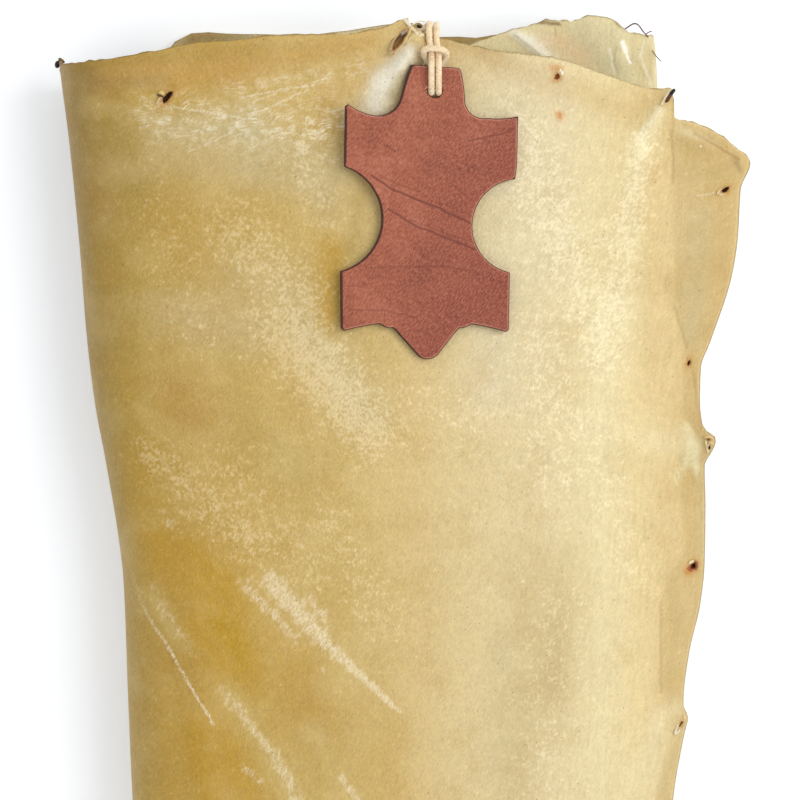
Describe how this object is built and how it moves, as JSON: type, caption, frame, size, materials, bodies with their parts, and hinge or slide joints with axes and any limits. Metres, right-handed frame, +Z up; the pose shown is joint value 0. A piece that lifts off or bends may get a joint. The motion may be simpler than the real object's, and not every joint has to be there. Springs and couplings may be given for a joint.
{
  "type": "rolled cowhide vellum",
  "caption": "Dried cowhide vellum rolled flat into a tapering tube, with a scalloped, pegged edge and a hide-shaped leather tag on a doubled cord.",
  "frame": {"origin": "under the middle of the roll, on the surface it lies on", "axes": "+Y along the roll to the tag's end, +X across it to the sheet's free edge, +Z up"},
  "size_m": [0.2866, 0.6032, 0.0613],
  "materials": {
    "vellum": "dried, scraped rawhide, slightly waxy",
    "tag_leather": "vegetable-tanned, unpolished",
    "cotton_cord": "undyed twisted cotton, matt"
  },
  "bodies": {
    "root": {"vellum_skin": "vellum", "hang_tag": "tag_leather", "tag_cord": "cotton_cord"}
  },
  "joints": []
}
